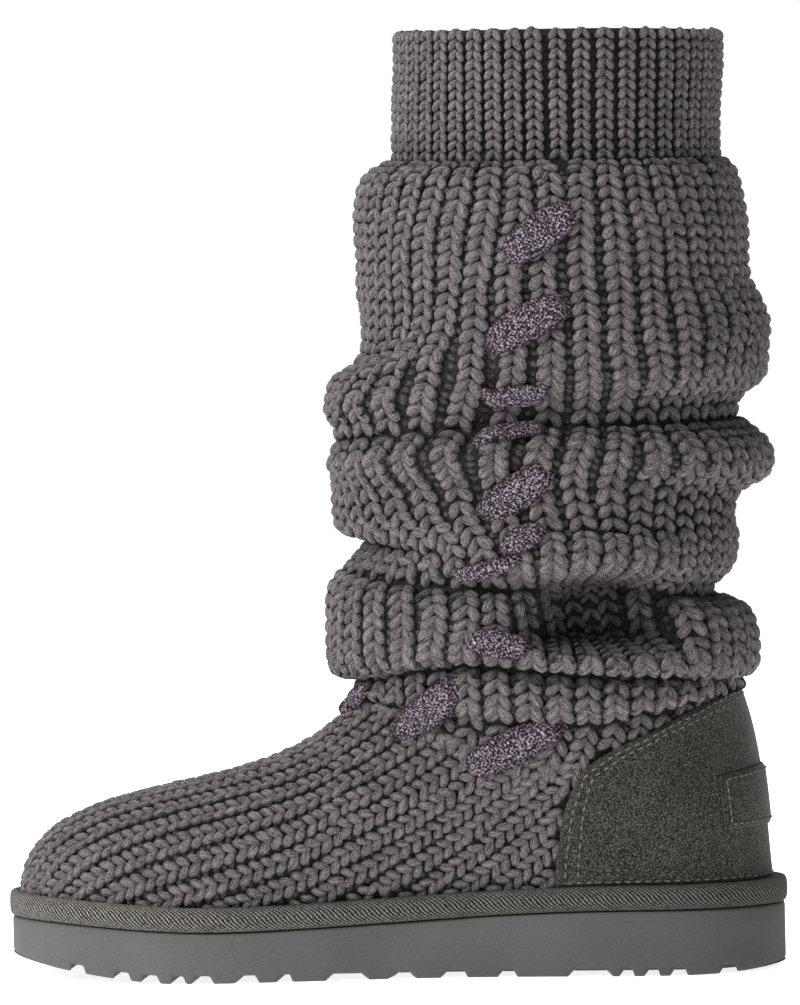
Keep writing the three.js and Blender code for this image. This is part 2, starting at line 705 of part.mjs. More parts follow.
const boot = new THREE.Group();
function addPiece(name, geometry, material) {
  const piece = new THREE.Mesh(geometry, material);
  piece.name = name;
  boot.add(piece);
}

const slots = laceSolid(gap);
addPiece("outsole", geometryFrom(tidied(soleSolid())), foam);
addPiece("binding", bindingSolid(), tape);
addPiece("insole", insoleSolid(), fleece);
addPiece("upper", geometryFrom(tidied(upperWall().subtract(slots))), knit);
addPiece("heel_counter", geometryFrom(tidied(counterSolid())), suede);
addPiece("heel_label", geometryFrom(tidied(labelSolid())), suede);
addPiece("lace", geometryFrom(laceSolid(0)), laceYarn);

export default boot;
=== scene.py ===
"""A slouchy knitted boot on a foam sole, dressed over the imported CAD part.

Sizes are millimetres until a mesh is made. +Z is up, the toe is towards -X and the boot's inner
side towards -Y.
A place on the upper is an angle round the boot, 0 at the toe and a quarter turn on the inner side, and a level:
0 at the sole, 6 at the ankle's seam and one more for each ring of the leg.
"""

import bpy
import numpy as np
from mathutils import Matrix, Vector


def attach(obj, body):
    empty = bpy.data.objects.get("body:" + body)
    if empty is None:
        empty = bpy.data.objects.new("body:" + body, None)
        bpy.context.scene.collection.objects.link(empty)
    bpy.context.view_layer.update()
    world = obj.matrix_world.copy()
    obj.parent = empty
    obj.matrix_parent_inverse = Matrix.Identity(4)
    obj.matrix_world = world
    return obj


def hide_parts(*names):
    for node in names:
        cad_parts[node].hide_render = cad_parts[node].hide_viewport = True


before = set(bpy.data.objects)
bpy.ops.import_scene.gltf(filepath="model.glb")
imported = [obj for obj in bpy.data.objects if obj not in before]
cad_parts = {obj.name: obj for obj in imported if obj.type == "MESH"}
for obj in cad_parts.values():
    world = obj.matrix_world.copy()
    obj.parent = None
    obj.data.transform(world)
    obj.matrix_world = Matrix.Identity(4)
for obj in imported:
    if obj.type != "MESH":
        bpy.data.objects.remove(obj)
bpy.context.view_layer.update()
MM = 0.001
random = np.random.default_rng(11)

# The boot's own sizes, as in the part's source

sole_length = 276
ball_width = 101
heel_thickness = 22.9
ball_thickness = 17.7
toe_thickness = 12.9
toe_spring = 8.2
heel_bevel = 2.1
tread_depth = 2.7
binding_height = 8.6
binding_thickness = 3.2
binding_heel_thickness = 6.5
binding_proud = 1
knit_wall = 3.6
ankle_height = 102
leg_height = 230
leg_radius = 58
leg_setback = 59
suede_thickness = 1.5
label_width = 52
label_height = 21
label_centre = 61
label_thickness = 1.1
insole_thickness = 6
lace_width = 11.5
lace_thickness = 3
gap = 0.35
tuck_level = 0.5
seam_level = 6

# Ground fabric: how far its outside lies under the stitches' surface, and its thickness
ground_depth = 2.5
ground_thickness = 1.4

SOLE_STATIONS = np.array([-1, -0.8, -0.46, -0.2, 0.02, 0.26, 0.52, 0.75, 1])
SOLE_INNER = np.array([0.43, 0.47, 0.5, 0.44, 0.38, 0.35, 0.37, 0.405, 0.41])
SOLE_OUTER = np.array([0.35, 0.41, 0.49, 0.51, 0.485, 0.44, 0.41, 0.41, 0.4])

# Handles of the foot's lengthwise curves at its front, inner side, back and outer side
FOOT_HANDLES = {
    "rise": (0.476, 0.27, 0.2, 0.27),
    "bulge": (-0.042, 0.06, -0.02, 0.05),
    "run": (0.277, 0.08, -0.075, 0.08),
    "climb": (0.419, 0.26, 0.2, 0.26),
}

# Rings along the rolls and creases of the leg, from the ankle's seam to the collar's top: reach, height, pinch
# below and flare above, each at the front, inner side, back and outer side, then hang. Reach is a share of the
# leg's radius and height of its height.
LEG_RINGS = np.array(
    [
        (1.24, 0.86, 1.09, 0.88, -0.013, -0.065, -0.018, -0.05, 0, 0, 0, 0, 0, 0, 0, 0, 0.5),
        (1.25, 0.985, 1.12, 0.97, -0.004, -0.025, -0.008, -0.02, 0, 0, 0, 0, 0, 0, 0, 0, 0.6),
        (1.22, 0.93, 1.12, 0.93, 0.006, 0.02, 0.002, 0.014, 0.8, 0.8, 0.8, 0.8, 0.8, 0.8, 0.8, 0.8, 0.5),
        (1.42, 1.14, 1.24, 1.15, 0.05, 0.06, 0.045, 0.06, 0, 0, 0, 0, 0, 0, 0, 0, 0.7),
        (1.31, 0.98, 0.95, 0.98, 0.182, 0.15, 0.128, 0.16, 0.55, 0.8, 0.85, 0.75, -0.55, 0.3, 0.2, 0.3, 0.4),
        (1.12, 1.15, 1.12, 1.13, 0.228, 0.195, 0.215, 0.21, 0.6, 0, 0, 0, 1, 0, 0, 0, 0.65),
        (1.37, 1.1, 1.1, 1.08, 0.272, 0.29, 0.252, 0.275, 0, 0, 0, 0, 0, 0, 0, 0, 0.5),
        (1.365, 1.16, 1.345, 1.16, 0.328, 0.357, 0.338, 0.342, 0, 0, 0, 0, 0, 0, 0, 0, 0.5),
        (1.31, 1.0, 1.13, 1.0, 0.378, 0.402, 0.405, 0.4, 0.15, 0.7, 0.6, 0.7, 0.1, 0, 0, 0, 0.8),
        (1.385, 1.165, 1.325, 1.16, 0.446, 0.5, 0.498, 0.492, 0, 0, 0, 0, 0, 0, 0, 0, 0.6),
        (1.165, 1.13, 1.315, 1.12, 0.538, 0.573, 0.568, 0.565, 0, 0.15, 0.25, 0.15, 0, -0.15, -0.25, -0.15, 0.62),
        (1.19, 1.11, 1.215, 1.1, 0.63, 0.666, 0.643, 0.655, 0, 0, 0, 0, 0, 0, 0, 0, 0.5),
        (1.185, 1.07, 1.19, 1.06, 0.752, 0.764, 0.742, 0.758, 0.15, 0.2, 0.15, 0.2, -0.15, -0.2, -0.15, -0.2, 0.5),
        (0.96, 0.92, 1.055, 0.92, 0.81, 0.806, 0.806, 0.806, 0.65, 0.65, 0.65, 0.65, 0, 0, 0, 0, 0.5),
        (0.938, 0.92, 1.085, 0.92, 1.002, 1.0, 0.996, 1.0, 0, 0, 0, 0, 0, 0, 0, 0, 0.5),
    ]
)
REACH, HEIGHT, PINCH, FLARE, HANG = 0, 4, 8, 12, 16

# Pockets pressed into the leg, and fills where depth is below 0: angle, height, wide, tall, depth. Wide is in
# degrees, height a share of the leg's height, tall and depth shares of its radius.
LEG_POCKETS = [
    (110, 0.105, 24, 0.18, 0.5),
    (112, 0.195, 24, 0.12, -0.07),
    (236, 0.15, 24, 0.14, 0.16),
    (305, 0.41, 20, 0.16, 0.1),
    (48, 0.39, 30, 0.3, -0.17),
]

# Places where the leg's fabric sags, or is drawn up where drop is below 0. The columns are as above.
LEG_SAGS = [
    (62, 0.045, 28, 0.16, -0.12),
    (112, 0.2, 24, 0.2, -0.06),
]

# Visible bars of the woven strip: angle and level of the lower end, then of the upper end, and the share of the
# strip's width
BARS = [
    (10, 5.75, 24, 7.2, 0.6),
    (49.5, 5.6, 65, 7.4, 1.12),
    (78, 5.0, 94, 6.2, 1.12),
    (72, 8.97, 86.5, 8.93, 0.85),
    (64, 10.59, 84, 11.0, 0.55),
    (79, 11.15, 91, 11.45, 0.8),
    (75.5, 11.82, 92, 12.71, 1.15),
    (76, 13.66, 92.5, 13.9, 0.8),
    (77, 14.5, 93, 14.6, 0.9),
    (78.5, 15.36, 98, 16.08, 1.18),
    (82, 16.96, 101, 17.6, 1.18),
]

# Grooves of the tread: start and width, as shares of the sole length from its middle
TREAD_GROOVES = [
    (-0.41, 0.023),
    (-0.35, 0.024),
    (-0.313, 0.025),
    (-0.274, 0.02),
    (-0.246, 0.028),
    (-0.19, 0.03),
    (-0.138, 0.02),
    (-0.077, 0.053),
    (0.008, 0.026),
    (0.069, 0.033),
    (0.141, 0.023),
    (0.23, 0.057),
    (0.296, 0.019),
    (0.328, 0.02),
    (0.36, 0.023),
    (0.422, 0.024),
]

# The forms that the pieces lie on


def smooth(x, low, high):
    t = np.clip((x - low) / (high - low), 0, 1)
    return t * t * (3 - 2 * t)


def stacked(*parts):
    return np.stack(np.broadcast_arrays(*parts), -1)


def unit(v):
    return v / np.maximum(np.linalg.norm(v, axis=-1, keepdims=True), 1e-9)


def distance_along(points):
    return np.concatenate([[0], np.cumsum(np.linalg.norm(np.diff(points, axis=0), axis=-1))])


def round_boot(angle, front, side, back, far):
    """A value between those of the front, inner side, back and outer side."""
    c, s = np.cos(angle), np.sin(angle)
    return c * c * np.where(c > 0, front, back) + s * s * np.where(s > 0, side, far)


def along_stations(station, column):
    """The column's value at a station, on a smooth curve through its rows."""
    last = len(SOLE_STATIONS) - 1
    i = np.clip(np.searchsorted(SOLE_STATIONS, station) - 1, 0, last - 1)
    before, after = np.maximum(i - 1, 0), np.minimum(i + 2, last)
    at = SOLE_STATIONS
    span = at[i + 1] - at[i]
    t = np.clip((station - at[i]) / span, 0, 1)
    slope_a = (column[i + 1] - column[before]) / (at[i + 1] - at[before])
    slope_b = (column[after] - column[i]) / (at[after] - at[i])
    return (
        (2 * t**3 - 3 * t**2 + 1) * column[i]
        + (t**3 - 2 * t**2 + t) * span * slope_a
        + (3 * t**2 - 2 * t**3) * column[i + 1]
        + (t**3 - t**2) * span * slope_b
    )


def outline(angle, offset=0):
    """x and y of the sole's outline, moved outwards by offset."""
    c = np.cos(angle)
    station = -np.sign(c) * np.abs(c) ** 0.75
    ends = np.sqrt(np.maximum(0, 1 - np.abs(station) ** 5))
    inner = np.sin(angle) > 0
    half = np.where(inner, along_stations(station, SOLE_INNER), along_stations(station, SOLE_OUTER))
    half = half * ball_width * ends
    x, y = station * sole_length / 2, np.where(inner, -half, half)
    if np.ndim(offset) == 0 and not offset:
        return x, y
    (ax, ay), (bx, by) = outline(angle + 0.02), outline(angle - 0.02)
    dx, dy = ax - bx, ay - by
    length = np.hypot(dx, dy)
    return x + offset * dy / length, y - offset * dx / length


def sole_top(x):
    toeward = smooth(-x, 0.22 * sole_length, 0.5 * sole_length)
    heelward = smooth(x, -0.22 * sole_length, 0.32 * sole_length)
    toe_top = toe_spring + toe_thickness
    toe_rise, heel_rise = toe_top - ball_thickness, heel_thickness - ball_thickness
    return ball_thickness + toe_rise * toeward + heel_rise * heelward


def sole_bottom(x):
    toe_start, heel_start = 0.27 * sole_length, 0.39 * sole_length
    toeward = np.maximum(0, (-x - toe_start) / (sole_length / 2 - toe_start))
    heelward = np.maximum(0, (x - heel_start) / (sole_length / 2 - heel_start))
    return toe_spring * toeward**1.5 + heel_bevel * heelward**2


def ring_value(ring, angle, first):
    return round_boot(angle, *(LEG_RINGS[ring][..., first + k] for k in range(4)))


def ring_point(ring, angle):
    c, s = np.cos(angle), np.sin(angle)
    rows = LEG_RINGS[ring]
    x = leg_setback - c * np.where(c > 0, rows[..., REACH], rows[..., REACH + 2]) * leg_radius
    y = -s * np.where(s > 0, rows[..., REACH + 1], rows[..., REACH + 3]) * leg_radius
    return stacked(x, y, ankle_height + leg_height * ring_value(ring, angle, HEIGHT))


def bezier(t, a, b, c, d):
    t = t[..., None]
    u = 1 - t
    return a * u**3 + b * 3 * u * u * t + c * 3 * u * t * t + d * t**3


def binding_inset(angle):
    side = binding_thickness
    return round_boot(angle, side, side, binding_heel_thickness, side) - binding_proud


def foot_point(angle, level):
    handle = {k: ankle_height * round_boot(angle, *v) for k, v in FOOT_HANDLES.items()}
    x, y = outline(angle, -binding_inset(angle) - gap)
    base = sole_top(x) + gap
    low = stacked(x, y, base + binding_height * np.minimum(level, tuck_level) / tuck_level)
    start = stacked(x, y, base + binding_height)
    end = ring_point(np.zeros(np.shape(angle), int), angle)
    leave = stacked(-np.cos(angle) * handle["bulge"], -np.sin(angle) * handle["bulge"], handle["rise"])
    arrive = stacked(handle["run"], 0 * angle, handle["climb"])
    t = np.clip((level - tuck_level) / (seam_level - tuck_level), 0, 1)
    high = bezier(t, start, start + leave, end - arrive, end)
    return np.where((level < tuck_level)[..., None], low, high)


def leg_point(angle, level):
    i = np.clip(np.floor(level - seam_level).astype(int), 0, len(LEG_RINGS) - 2)
    below, above = ring_point(i, angle), ring_point(i + 1, angle)
    reach = np.linalg.norm(above - below, axis=-1)[..., None]
    outward = stacked(-np.cos(angle), -np.sin(angle), 0 * angle)
    hang = LEG_RINGS[i + 1][..., HANG, None]

    def leaning(lean):
        return stacked(0 * lean, 0 * lean, 1 - np.abs(lean)) + outward * lean[..., None]

    leave = leaning(ring_value(i, angle, FLARE)) * reach * (1.1 - hang)
    arrive = leaning(-ring_value(i + 1, angle, PINCH)) * reach * hang
    point = bezier(level - seam_level - i, below, below + leave, above - arrive, above)

    def local(at, height, wide, tall):
        turn = angle - np.radians(at)
        across = np.arctan2(np.sin(turn), np.cos(turn)) / np.radians(wide)
        return across, (point[..., 2] - ankle_height - height * leg_height) / (tall * leg_radius)

    for *place, depth in LEG_POCKETS:
        across, lift = local(*place)
        point = point - outward * (depth * leg_radius * np.exp(-(across**4) - lift**4))[..., None]
    for *place, drop in LEG_SAGS:
        across, lift = local(*place)
        shift = drop * leg_radius * np.exp(-(across**2) - lift**2)
        point = point - shift[..., None] * np.array([0, 0, 1])
    return point


top_level = seam_level + len(LEG_RINGS) - 1


def upper_base(angle, level):
    angle, level = np.broadcast_arrays(np.asarray(angle, float), np.asarray(level, float))
    return np.where((level < seam_level)[..., None], foot_point(angle, level), leg_point(angle, level))


def upper_normal(angle, level, turn=0.03, lift=0.04):
    around = upper_base(angle + turn, level) - upper_base(angle - turn, level)
    above, below = np.minimum(level + lift, top_level), np.maximum(level - lift, 0)
    return unit(np.cross(around, upper_base(angle, above) - upper_base(angle, below)))


def upper_point(angle, level, offset=0.0):
    """A point of the upper's outside, moved outwards by offset."""
    point = upper_base(angle, level)
    return point + upper_normal(angle, level) * np.asarray(offset, float)[..., None]


# Meshes


def piece(name, verts, faces, look, node=None, uv=None, attributes=None):
    """An object from points and faces, which takes the place of a node where one is named."""
    mesh = bpy.data.meshes.new(name)
    verts = np.asarray(verts, float).reshape(-1, 3) * MM
    groups = faces if isinstance(faces, list) else [faces]
    groups = [np.asarray(g, int) for g in groups if len(g)]
    loops = np.concatenate([g.ravel() for g in groups])
    sizes = np.concatenate([np.full(len(g), g.shape[1]) for g in groups])
    starts = np.concatenate([[0], np.cumsum(sizes)[:-1]])
    mesh.vertices.add(len(verts))
    mesh.vertices.foreach_set("co", verts.ravel())
    mesh.loops.add(len(loops))
    mesh.loops.foreach_set("vertex_index", loops)
    mesh.polygons.add(len(starts))
    mesh.polygons.foreach_set("loop_start", starts)
    mesh.polygons.foreach_set("use_smooth", np.ones(len(starts), bool))
    if uv is not None:
        layer = mesh.uv_layers.new(name="UVMap")
        layer.uv.foreach_set("vector", np.asarray(uv, float)[loops].ravel())
    for key, values in (attributes or {}).items():
        kind = mesh.attributes.new(key, "FLOAT", "POINT")
        kind.data.foreach_set("value", np.asarray(values, float).ravel())
    mesh.update(calc_edges=True)
    mesh.validate()
    obj = bpy.data.objects.new(name, mesh)
    bpy.context.scene.collection.objects.link(obj)
    mesh.materials.append(look)
    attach(obj, "root")
    if node:
        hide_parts(node)
    return obj


def grid_faces(rows, columns, closed_round=True, closed_rows=False, start=0):
    """Faces of a grid of points, row by row, outwards where the rows climb and the columns go round."""
    wide = columns if closed_round else columns - 1
    tall = rows if closed_rows else rows - 1
    i, j = np.meshgrid(np.arange(wide), np.arange(tall))
    i, j = i.ravel(), j.ravel()
    a = j * columns + i
    b = j * columns + (i + 1) % columns
    c = (j + 1) % rows * columns + (i + 1) % columns
    d = (j + 1) % rows * columns + i
    return np.stack([a, b, c, d], 1) + start


def shell(name, outer, inner, look, node):
    """A closed wall between two grids of points round the boot, joined at their first and last rows."""
    rows, columns = outer.shape[:2]
    sheet = np.concatenate([outer, inner[::-1]])
    return piece(name, sheet, grid_faces(2 * rows, columns, True, True), look, node)


# Looks


def colour(red, green, blue):
    """A colour as seen on a screen, from 0 to 255, as light."""
    c = np.array([red, green, blue]) / 255
    c = np.where(c <= 0.04045, c / 12.92, ((c + 0.055) / 1.055) ** 2.4)
    return (*map(float, c), 1.0)


class Value:
    """A value in a look. Sums and products of these are maths nodes."""

    def __init__(self, look, socket):
        self.look = look
        self.socket = socket

    def maths(self, operation, first, second=None):
        values = {0: first} if second is None else {0: first, 1: second}
        return self.look.node("ShaderNodeMath", {"operation": operation}, values)

    def __add__(self, other):
        return self.maths("ADD", self, other)

    __radd__ = __add__

    def __sub__(self, other):
        return self.maths("SUBTRACT", self, other)

    def __rsub__(self, other):
        return self.maths("SUBTRACT", other, self)

    def __mul__(self, other):
        return self.maths("MULTIPLY", self, other)

    __rmul__ = __mul__

    def sin(self):
        return self.maths("SINE", self)

    def abs(self):
        return self.maths("ABSOLUTE", self)

    def step(self, low, high):
        """0 below low, 1 above high, smooth between."""
        settings = {"interpolation_type": "SMOOTHSTEP"}
        return self.look.node("ShaderNodeMapRange", settings, {0: self, 1: low, 2: high})


class Look:
    """One material: a matt shader whose colour and bump are set from nodes."""

    def __init__(self, name, roughness=0.9):
        self.material = bpy.data.materials.new(name)
        self.material.use_nodes = True
        self.tree = self.material.node_tree
        self.shader = next(n for n in self.tree.nodes if n.type == "BSDF_PRINCIPLED")
        self.shader.inputs["Roughness"].default_value = roughness
        self.shader.inputs["Specular IOR Level"].default_value = 0.2

    def put(self, socket, value):
        if isinstance(value, Value):
            self.tree.links.new(value.socket, socket)
        else:
            socket.default_value = value

    def node(self, kind, settings=None, values=None, output=0):
        made = self.tree.nodes.new(kind)
        for key, value in (settings or {}).items():
            setattr(made, key, value)
        for key, value in (values or {}).items():
            self.put(made.inputs[key], value)
        return Value(self, made.outputs[output])

    def place(self):
        return self.node("ShaderNodeTexCoord", output="Object")

    def uv(self):
        """The piece's own two coordinates."""
        parts = self.tree.nodes.new("ShaderNodeSeparateXYZ")
        self.put(parts.inputs[0], self.node("ShaderNodeUVMap"))
        return Value(self, parts.outputs[0]), Value(self, parts.outputs[1])

    def xyz(self, x, y, z=0.0):
        return self.node("ShaderNodeCombineXYZ", None, {0: x, 1: y, 2: z})

    def attribute(self, name):
        return self.node("ShaderNodeAttribute", {"attribute_name": name}, output="Fac")

    def noise(self, where, scale, detail=2.0, roughness=0.5):
        values = {"Vector": where, "Scale": scale, "Detail": detail, "Roughness": roughness}
        return self.node("ShaderNodeTexNoise", None, values)

    def cells(self, where, scale):
        return self.node("ShaderNodeTexVoronoi", None, {"Vector": where, "Scale": scale}, "Distance")

    def mix(self, share, first, second):
        made = self.tree.nodes.new("ShaderNodeMix")
        made.data_type = "RGBA"
        for key, value in {0: share, 6: first, 7: second}.items():
            self.put(made.inputs[key], value)
        return Value(self, made.outputs[2])

    def painted_falloff(self, start, slope):
        """A factor that falls evenly from the toe to the heel, for painted light that fades towards the heel."""
        parts = self.tree.nodes.new("ShaderNodeSeparateXYZ")
        self.put(parts.inputs[0], self.place())
        return Value(self, parts.outputs[0]) * -slope + start

    def shade(self, tint, factor):
        """A colour made lighter or darker by a factor."""
        made = self.tree.nodes.new("ShaderNodeVectorMath")
        made.operation = "SCALE"
        self.put(made.inputs[0], tint)
        self.put(made.inputs["Scale"], factor)
        return Value(self, made.outputs[0])

    def finish(self, tint, height=None, distance=0.0003, strength=1.0):
        self.put(self.shader.inputs["Base Color"], tint)
        if height is not None:
            values = {"Strength": strength, "Distance": distance, "Height": height}
            self.put(self.shader.inputs["Normal"], self.node("ShaderNodeBump", None, values))
        return self.material


def yarn_look(name, dark, light, fleck=0.95, strands=20):
    """Spun yarn: strands that run along each stitch, with fine flecks, darkened by painted shade given with the
    stitches.
    """
    look = Look(name, 0.95)
    along, across = look.uv()
    tone = look.attribute("tone")
    painted_shade = look.attribute("painted_shade")
    where = look.xyz(along * 2.2 + across * 1.1 + tone * 37, across * strands, tone * 11)
    strand = look.noise(where, 1.0, 3.0, 0.65)
    speckle = look.noise(look.place(), 2300, 2.0, 0.7)
    share = (strand - 0.5) * 1.7 + (speckle - 0.5) * 2 * fleck + 0.5
    tint = look.mix(share.step(0.0, 1.0), dark, light)
    # Painted shade given with each stitch darkens it; tone varies each stitch at random
    tint = look.shade(tint, (1.0 - painted_shade * 0.9) * (tone * 0.09 + 0.97))
    return look.finish(tint, strand * 0.7 + speckle * 0.3, 0.00028, 0.9)


def heather_look():
    """Fine knitted strip of mixed dark and light yarn."""
    look = Look("heather", 0.95)
    along, across = look.uv()
    row = look.noise(look.xyz(along * 0.9 + across * 0.5, across * 0.7 - along * 0.25), 1.0, 3.0, 0.75)
    fleck = look.noise(look.place(), 1300, 3.0, 0.85)
    loops = ((along * 2.1 + across * 1.3).sin() * (across * 2.4 - along * 0.9).sin()).abs()
    share = (row - 0.5) * 3.2 + (fleck - 0.5) * 4.0 + 0.16 + (loops - 0.4) * 0.3
    tint = look.mix(share.step(0.0, 1.0), colour(26, 16, 24), colour(186, 169, 184))
    # Painted shade on the bars' edges and ends darkens the yarn
    edge = look.attribute("painted_shade")
    tint = look.shade(tint, 1.0 - edge * 0.7)
    return look.finish(tint, loops * 0.5 + fleck * 0.5, 0.0006, 1.0)


def foam_look():
    look = Look("foam", 0.75)
    where = look.place()
    grain = look.noise(where, 2300, 2.0, 0.6)
    broad = look.noise(where, 25, 2.0, 0.5)
    dots = look.cells(where, 1500)
    share = (grain - 0.5) * 0.9 + (broad - 0.5) * 0.5 + 0.5
    tint = look.mix(share.step(0.1, 0.9), colour(74, 72, 73), colour(98, 95, 97))
    # Painted shade: the sole darkens evenly from the toe to the heel, as the light falls off
    tint = look.shade(tint, look.painted_falloff(0.97, 1.4))
    return look.finish(tint, grain + dots * 0.6, 0.00012, 0.6)


def suede_look(name, dark, light):
    look = Look(name, 1.0)
    where = look.place()
    nap = look.noise(where, 1500, 3.0, 0.75)
    fine = look.noise(where, 3200, 2.0, 0.8)
    broad = look.noise(where, 38, 3.0, 0.6)
    share = (nap - 0.5) * 4.4 + (fine - 0.5) * 5.0 + (broad - 0.5) * 0.5 + 0.08
    tint = look.mix(share.step(0.0, 1.0), dark, light)
    look.shader.inputs["Sheen Weight"].default_value = 0.15
    return look.finish(tint, nap * 0.6 + fine * 0.5, 0.0002, 0.7)


def tape_look():
    """Woven tape: two sets of threads on the slant, with dark gaps between them."""
    look = Look("tape", 0.85)
    along, up = look.uv()
    one = ((along * 0.75 + up) * 2.5).sin().abs()
    two = ((along - up * 0.9) * 2.9).sin().abs()
    threads = one.step(0.05, 0.9) * (two.step(0.0, 0.7) * 0.65 + 0.35)
    fibre = look.noise(look.place(), 1900, 3.0, 0.8)
    share = threads * 1.1 + (fibre - 0.5) * 3.2 - 0.36
    tint = look.mix(share.step(0.0, 1.0), colour(7, 6, 5), colour(136, 133, 126))
    # Painted shade: the tape darkens evenly from the toe to the heel, as the light falls off
    return look.finish(look.shade(tint, look.painted_falloff(1.1, 2.4)), threads, 0.0005, 1.0)


def shaded_ground_look():
    look = Look("ground", 1.0)
    grain = look.noise(look.place(), 900, 3.0, 0.6)
    # The fabric between the ribs is the same yarn, coloured dark here as painted shade
    tint = look.mix(grain.step(0.3, 0.7), colour(16, 14, 14), colour(50, 47, 46))
    return look.finish(tint, grain, 0.0006)


def fleece_look():
    look = Look("fleece", 1.0)
    curls = look.noise(look.place(), 420, 4.0, 0.65)
    tint = look.mix(curls.step(0.3, 0.7), colour(96, 92, 89), colour(150, 145, 141))
    return look.finish(tint, curls, 0.0012, 1.0)


knit = yarn_look("knit", colour(19, 16, 16), colour(142, 135, 135))
ground = shaded_ground_look()
foam = foam_look()
tape = tape_look()
suede = suede_look("suede", colour(13, 12, 9), colour(104, 102, 93))
fleece = fleece_look()
heather = heather_look()
thread = yarn_look("thread", colour(88, 87, 80), colour(158, 156, 144), 0.2, 6)

# Sole and tape


def notch(x):
    """How far the tread's arched grooves cut up from the sole's lower edge, at x along the boot."""
    cut = 0 * x
    for start, width in TREAD_GROOVES:
        half = width * sole_length / 2
        across = np.abs(x - start * sole_length - half) / half
        cut = np.maximum(cut, tread_depth * np.clip(1.35 * (1 - across**3), 0, 1))
    return cut


def sole_piece():
    count = 1200
    angles = np.arange(count) * 2 * np.pi / count
    x, y = outline(angles)
    cut = notch(x)
    rows = []
    for share, fade in ((0.0, 0.0), (0.12, 0.0), (0.4, 0.0), (0.45, 1.0), (0.96, 1.0)):
        rows.append(stacked(x, y * share, sole_bottom(x) + cut * fade))
    bottom = sole_bottom(x)
    for inset, lift in ((1.1, 0.0), (0.5, 0.35), (0.12, 0.9), (0, 1.8)):
        px, py = outline(angles, -inset)
        rows.append(stacked(px, py, bottom + cut + lift))
    for share in (0.35, 0.7):
        rows.append(stacked(x, y, bottom + (sole_top(x) - bottom) * share))
    for inset, lift in ((0.0, -1.2), (0.3, -0.4), (1.0, 0.0)):
        px, py = outline(angles, -inset)
        rows.append(stacked(px, py, sole_top(px) + lift))
    rows.append(stacked(x, y * 0.0, sole_top(x)))
    return piece("sole_foam", np.stack(rows), grid_faces(len(rows), count), foam, "outsole")


def tape_piece():
    count = 720
    angles = np.arange(count) * 2 * np.pi / count
    x, y = outline(angles)
    step = np.hypot(np.diff(x, append=x[0]), np.diff(y, append=y[0]))
    along = np.concatenate([[0], np.cumsum(step)[:-1]])
    lap = smooth(x, -4.1, -3.1) * (1 - smooth(x, 26, 27)) * (y < 0)
    inner = -binding_inset(angles)
    width_round = 12.0
    rows, uvs = [], []
    for t in np.linspace(0, 1, 14):
        tilt = np.pi * (t - 0.5)
        bulge = np.cos(tilt) ** 0.45
        height = binding_height * (0.5 + 0.5 * np.sign(np.sin(tilt)) * np.abs(np.sin(tilt)) ** 0.8)
        offset = binding_proud + 2.0 * (bulge - 1) + 0.45 * lap
        px, py = outline(angles, offset)
        rows.append(stacked(px, py, sole_top(x) + gap + height))
        uvs.append(stacked(along, t * width_round))
    for height in (binding_height, 0.0):
        px, py = outline(angles, inner)
        rows.append(stacked(px, py, sole_top(x) + gap + height))
        uvs.append(stacked(along, width_round + 2.0))
    faces = grid_faces(len(rows), count, True, True)
    uv = np.stack(uvs).reshape(-1, 2)
    return piece("sole_tape", np.stack(rows), faces, tape, "binding", uv)


def insole_piece():
    count = 360
    angles = np.arange(count) * 2 * np.pi / count
    x, y = outline(angles, -binding_inset(angles) - knit_wall - 4 * gap)
    rows = [stacked(x, y * 0, sole_top(x) + gap), stacked(x, y * 0.97, sole_top(x) + gap)]
    for share, drop in ((1, 5.2), (1, 1.4), (0.985, 0.4), (0.95, 0), (0.7, -0.1), (0.35, 0), (0, 0)):
        rows.append(stacked(x, y * share, sole_top(x) + gap + insole_thickness - drop))
    faces = grid_faces(len(rows), count)
    return piece("insole_fleece", np.stack(rows), faces, fleece, "insole")


# Ground fabric under the stitches


def ground_piece():
    count = 210
    angles = np.arange(count) * 2 * np.pi / count
    foot_levels = np.linspace(0, seam_level, 30)[:-1]
    levels = np.concatenate([foot_levels, np.linspace(seam_level, top_level, 160)])
    grid_angle, grid_level = np.meshgrid(angles, levels)
    outer = upper_point(grid_angle, grid_level, -ground_depth)
    inner = upper_point(grid_angle, grid_level, -ground_depth - ground_thickness)
    return shell("upper_ground", outer, inner, ground, "upper")


# Stitches

# Length, width and thickness of a stitch's leg, as shares of the distance from stitch to stitch
STITCH_SIZE = np.array([1.56, 0.84, 0.86])
# Least and greatest widths of a rib's stitches, as shares of their usual width
STITCH_WIDTHS = 0.76, 1.22
# How far a leg is turned to its side of the rib, in degrees, and how much it dips at its upper end
leg_turn, leg_dip = 36, 0.22
# One leg of a pair lies further along the rib, and all lie a little unevenly
stagger, uneven_place, uneven_lean, uneven_size = 0.25, 0.12, 4, 0.05

FULL_LEG = np.array([-0.46, -0.29, 0.0, 0.29, 0.46])
PLAIN_LEG = np.array([-0.44, 0.0, 0.44])


